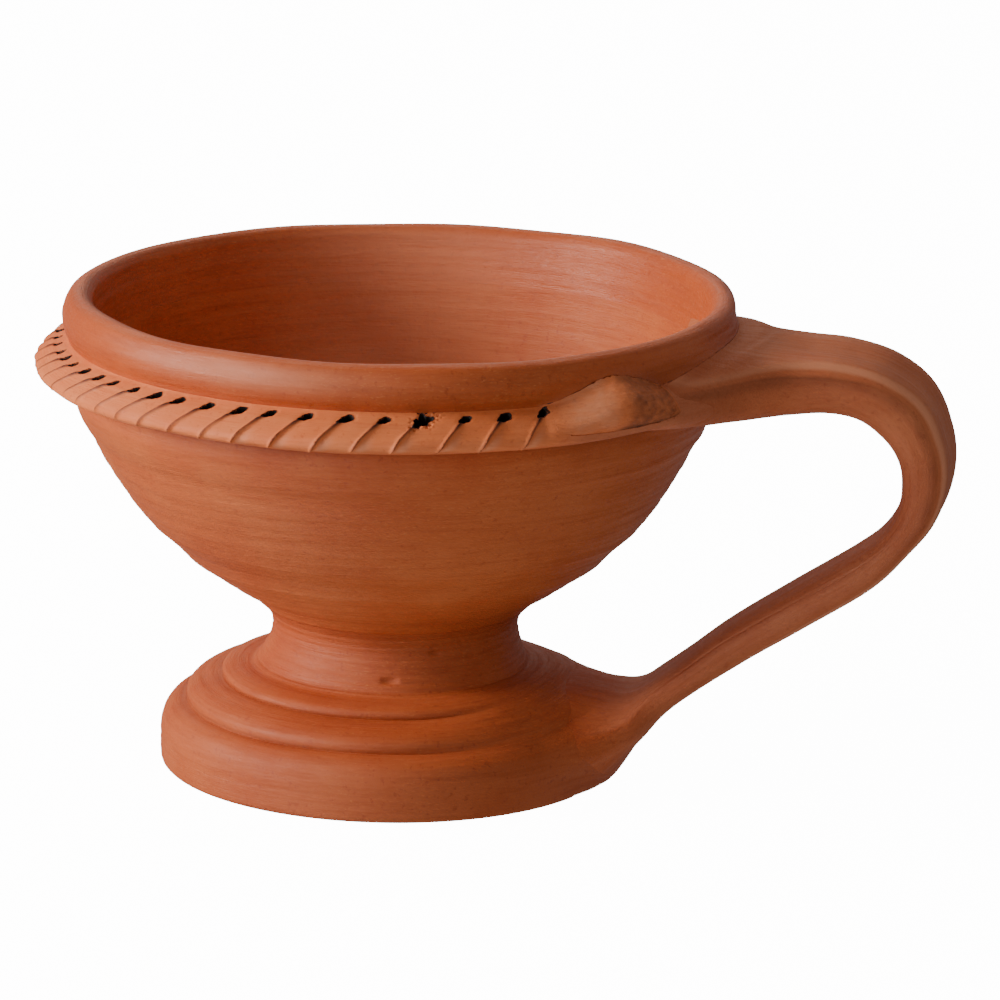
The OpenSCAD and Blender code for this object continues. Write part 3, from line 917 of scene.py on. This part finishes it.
class Nodes:
    """Short ways to add and link the shader nodes of one material."""

    def __init__(self, material, seed):
        material.use_nodes = True
        self.nodes, self.links = material.node_tree.nodes, material.node_tree.links
        self.shader = self.nodes["Principled BSDF"]
        self.seed = seed

    def feed(self, socket, value):
        """Links another node's output to a socket, or sets a fixed value on it."""
        if isinstance(value, bpy.types.NodeSocket):
            self.links.new(value, socket)
        else:
            socket.default_value = value

    def feed_all(self, node, values):
        """Feeds several of a node's inputs, by name or number."""
        for key, value in values.items():
            self.feed(node.inputs[key], value)

    def attribute(self, name, output="Fac"):
        node = self.nodes.new("ShaderNodeAttribute")
        node.attribute_name = name
        return node.outputs[output]

    def noise(self, vector, scale, detail, offset, roughness=0.6):
        node = self.nodes.new("ShaderNodeTexNoise")
        node.noise_dimensions = "4D"
        self.feed_all(node, {
            "Vector": vector, "Scale": scale, "Detail": detail, "Roughness": roughness,
            "W": self.seed + offset
        })
        return node.outputs["Fac"]

    def remap(self, value, low, high, to_low=0.0, to_high=1.0):
        node = self.nodes.new("ShaderNodeMapRange")
        node.interpolation_type = "SMOOTHSTEP"
        self.feed_all(node, {
            "Value": value, "From Min": low, "From Max": high, "To Min": to_low, "To Max": to_high
        })
        return node.outputs["Result"]

    def mix(self, share, a, b, kind="MIX"):
        node = self.nodes.new("ShaderNodeMix")
        node.data_type, node.blend_type = "RGBA", kind
        self.feed_all(node, {0: share, 6: a, 7: b})
        return node.outputs[2]

    def maths(self, kind, a, b):
        node = self.nodes.new("ShaderNodeMath")
        node.operation = kind
        self.feed_all(node, {0: a, 1: b})
        return node.outputs[0]

    def spot(self):
        """A place on the object, in its own metres."""
        return self.nodes.new("ShaderNodeTexCoord").outputs["Object"]

    def shorten(self, vector, times):
        """The grain, squeezed along the streaks, so that a noise on it makes short dashes."""
        node = self.nodes.new("ShaderNodeVectorMath")
        node.operation = "MULTIPLY"
        self.feed_all(node, {0: vector, 1: (times, times, 1)})
        return node.outputs[0]


FLECK = (0.70, 0.21, 0.065, 1)
# Colours for painted shade, for near-black painted shade in holes and on hidden faces, and for painted
# highlights.
PAINTED_SHADE = (0.13, 0.026, 0.007, 1)
PAINTED_DEEP_SHADE = (0.007, 0.003, 0.002, 1)
PAINTED_HIGHLIGHT = (0.80, 0.33, 0.18, 1)


def clay_colour(kit, marks, base, deep, light, meeting_and_shade_colour):
    """The clay's own colour, then its streaks and flecks, then its colour where it meets another clay and
    its painted shade under the lugs, then painted shade, near-black painted shade and painted highlights
    from the shade attribute.
    """
    streaks, fine_streaks, grit, specks = marks
    shade = kit.attribute("shade")
    colour = kit.mix(kit.remap(kit.noise(kit.spot(), 38, 5, 3), 0.32, 0.68), base, light)
    colour = kit.mix(kit.remap(streaks, 0.45, 0.75, 0, 0.40), colour, deep)
    colour = kit.mix(kit.remap(fine_streaks, 0.50, 0.72, 0, 0.40), colour, light)
    scatter = kit.remap(kit.noise(kit.spot(), 26, 3, 6), 0.42, 0.62, 0.10, 1)
    dashes = kit.maths("MULTIPLY", kit.remap(specks, 0.56, 0.72, 0, 0.45), scatter)
    colour = kit.mix(dashes, colour, FLECK)
    colour = kit.mix(kit.remap(grit, 0.30, 0.44, 0.45, 0), colour, deep)
    colour = kit.mix(kit.attribute("merge"), colour, meeting_and_shade_colour, "MULTIPLY")
    # Shade above zero mixes in painted shade, shade near its top mixes in near-black painted shade, and
    # shade below zero mixes in painted highlights.
    colour = kit.mix(kit.remap(shade, 0.0, 0.9, 0, 0.85), colour, PAINTED_SHADE)
    colour = kit.mix(kit.remap(shade, 0.8, 1.25), colour, PAINTED_DEEP_SHADE)
    return kit.mix(kit.remap(shade, -0.05, -0.6, 0, 0.6), colour, PAINTED_HIGHLIGHT)


def clay_bump(kit, marks):
    """The fine tooth of the surface, which is too small to be modelled."""
    total = None
    for mark, height in zip(marks, (0.8, 0.55, 0.22, 0.20)):
        part = kit.maths("MULTIPLY", mark, height)
        total = part if total is None else kit.maths("ADD", total, part)
    dent = kit.nodes.new("ShaderNodeBump")
    kit.feed_all(dent, {"Strength": 0.55, "Distance": 0.00045, "Height": total})
    return dent.outputs["Normal"]


def fired_clay(name, base, deep, light, rough, seed, meeting_and_shade_colour=(1, 1, 1, 1)):
    """Unglazed terracotta: streaks along the grain, mottling, pale flecks, and darker hollows and lighter
    faces painted as shade and highlights. meeting_and_shade_colour is what its colour is multiplied by
    where it was smeared onto another clay, and on the band under the lugs as painted shade."""
    material = bpy.data.materials.new(name)
    kit = Nodes(material, seed)
    along = kit.attribute("grain", "Vector")
    streaks = kit.noise(along, 0.9, 5, 1)
    grit = kit.noise(kit.spot(), 900, 3, 4)
    marks = streaks, kit.noise(along, 4.2, 4, 2, 0.65), grit, kit.noise(kit.shorten(along, 5), 3.6, 2, 5)
    gloss = kit.maths(
        "ADD", kit.remap(streaks, 0.3, 0.7, rough - 0.08, rough + 0.10),
        kit.remap(grit, 0.3, 0.7, -0.05, 0.05)
    )
    kit.feed_all(kit.shader, {
        "Base Color": clay_colour(kit, marks, base, deep, light, meeting_and_shade_colour),
        "Roughness": gloss, "Specular IOR Level": 0.28, "Normal": clay_bump(kit, marks)
    })
    return material


def mix_clays():
    """The five clays: foot and stem, bowl, rim, band and lugs, and strap."""
    return (
        fired_clay("foot_clay", (0.42, 0.074, 0.017, 1), (0.31, 0.046, 0.010, 1),
                   (0.50, 0.110, 0.031, 1), 0.57, 1),
        fired_clay("bowl_clay", (0.50, 0.093, 0.021, 1), (0.37, 0.057, 0.012, 1),
                   (0.59, 0.14, 0.038, 1), 0.52, 2),
        fired_clay("rim_clay", (0.48, 0.082, 0.017, 1), (0.35, 0.051, 0.009, 1),
                   (0.56, 0.118, 0.031, 1), 0.41, 3),
        # The band and lugs' clay is brighter than the bowl's because they catch the key light: painted
        # light.
        fired_clay("band_clay", (0.74, 0.165, 0.044, 1), (0.56, 0.095, 0.020, 1),
                   (0.80, 0.215, 0.070, 1), 0.58, 4, (0.72, 0.82, 1.15, 1)),
        fired_clay("handle_clay", (0.50, 0.116, 0.039, 1), (0.39, 0.075, 0.021, 1),
                   (0.58, 0.164, 0.062, 1), 0.60, 5, (0.93, 0.70, 0.48, 1)),
    )


# ---------------------------------------------------------------- putting it together

# Fillets in front of the lamp and behind it.
LUG_FILLET = 2.8, 2.8
RIM_FILLET = 4.6, 1.8
ROOT_FILLET = 7, 7
RAMP_RELIEF = 1.6


def lute(foot, stem, bowl, roll, band, lugs, whole):
    """Smears the lugs and the strap onto the turned pieces."""
    for lug in lugs:
        shape = mesh_distance(lug)
        for body in (band, roll):
            join_skins(body, upper_clay, shape, LUG_FILLET)
        join_skins(lug, shape, upper_clay, LUG_FILLET)
    strap = mesh_distance(whole)
    for body in (band, roll, bowl, *lugs):
        join_skins(body, upper_clay, strap, RIM_FILLET)
    join_skins(foot, lower_clay, strap, ROOT_FILLET, RAMP_RELIEF)
    join_skins(stem, lower_clay, strap, ROOT_FILLET)
    join_skins(whole, strap, upper_clay, RIM_FILLET)
    join_skins(whole, strap, lower_clay, ROOT_FILLET)


def build():
    """Makes every piece and fires it."""
    foot, stem, bowl, roll, band = make_foot(), make_stem(), make_bowl(), make_rim_roll(), make_band()
    lugs = [make_lug(-1), make_lug(1)]
    whole, seams = make_handle()
    lute(foot, stem, bowl, roll, band, lugs, whole)
    root, handle, low_root = split_strap(whole, seams)
    body, wall, rim, flange, grip = mix_clays()
    foot.fire("turned_foot", body, "terracotta_foot", "foot")
    stem.fire("waisted_stem", body, "terracotta_foot", "stem")
    bowl.fire("thrown_bowl", wall, "terracotta_bowl", "bowl")
    roll.fire("rolled_rim", rim, "terracotta_rim", "rim_roll")
    band.fire("cut_band", flange, "terracotta_band", "notched_band")
    lugs[0].fire("lug_in_front", flange, "terracotta_band", "front_lug", 35)
    lugs[1].fire("lug_behind", flange, "terracotta_band", "rear_lug", 35)
    root.fire("strap_top_root", grip, "terracotta_handle", "handle_top_root")
    handle.fire("strap", grip, "terracotta_handle", "handle")
    low_root.fire("strap_lower_root", grip, "terracotta_handle", "handle_lower_root")


def stage():
    """A white floor that reaches far back, bright all over."""
    mesh = bpy.data.meshes.new("studio_floor")
    wide = 6.0
    corners = [(-wide, -wide, 0), (wide, -wide, 0), (wide, wide, 0), (-wide, wide, 0)]
    mesh.from_pydata(corners, [], [(0, 1, 2, 3)])
    floor = bpy.data.objects.new("studio_floor", mesh)
    bpy.context.scene.collection.objects.link(floor)
    paper = bpy.data.materials.new("white_paper")
    paper.use_nodes = True
    shader = paper.node_tree.nodes["Principled BSDF"]
    shader.inputs["Base Color"].default_value = (0.92, 0.92, 0.92, 1)
    shader.inputs["Roughness"].default_value = 0.9
    shader.inputs["Emission Color"].default_value = (1, 1, 1, 1)
    shader.inputs["Emission Strength"].default_value = 14
    mesh.materials.append(paper)
    floor.visible_diffuse = False
    floor.visible_glossy = False
    floor.visible_shadow = False


MIDDLE = Vector((0.02, 0, 0.05))


def soft_light(name, place, size, power, colour=(1, 1, 1), sheen_only=False):
    """A round lamp that faces the middle of the object. One for sheen only lights no matt clay."""
    lamp = bpy.data.lights.new(name, "AREA")
    lamp.shape = "DISK"
    lamp.size = size
    lamp.energy = power
    lamp.color = colour
    holder = bpy.data.objects.new(name, lamp)
    holder.location = place
    holder.rotation_euler = (MIDDLE - Vector(place)).to_track_quat("-Z", "Y").to_euler()
    holder.visible_diffuse = not sheen_only
    bpy.context.scene.collection.objects.link(holder)


def light():
    """A strong warm key from the left, with weak lamps in front, behind and below."""
    world = bpy.data.worlds.new("studio")
    world.use_nodes = True
    sky = world.node_tree.nodes["Background"]
    sky.inputs["Color"].default_value = (1, 1, 1, 1)
    sky.inputs["Strength"].default_value = 0.28
    bpy.context.scene.world = world
    soft_light("key", (-1.20, -0.40, 0.54), 0.6, 25, (1, 0.92, 0.83))
    soft_light("fill", (-0.1, -1.2, 0.35), 0.9, 1.8)
    soft_light("back", (-0.3, 0.9, 0.8), 0.8, 2.8, (1, 0.84, 0.68))
    soft_light("sheen", (-0.93, -0.89, 0.32), 0.4, 12, (1, 0.92, 0.86), sheen_only=True)
    soft_light("bounce", (-0.5, -0.5, -0.6), 1.0, 3.6)


def camera():
    """The camera stands in front, a little to the right, and looks down at the bowl."""
    eye = Vector((0.2014, -1.0253, 0.3228))
    around, down, roll = math.radians(10), 0.2551, 0.0146
    ahead = Vector((-math.cos(down) * math.sin(around), math.cos(down) * math.cos(around), -math.sin(down)))
    level = Vector((math.cos(around), math.sin(around), 0))
    upright = level.cross(ahead)
    right = level * math.cos(roll) + upright * math.sin(roll)
    up = upright * math.cos(roll) - level * math.sin(roll)
    lens = bpy.data.cameras.new("camera")
    lens.sensor_width = 36
    lens.lens = 207.3
    holder = bpy.data.objects.new("camera", lens)
    turn = Matrix((right, up, -ahead)).transposed().to_4x4()
    holder.matrix_world = Matrix.Translation(eye) @ turn
    bpy.context.scene.collection.objects.link(holder)
    bpy.context.scene.camera = holder


build()
stage()
light()
camera()
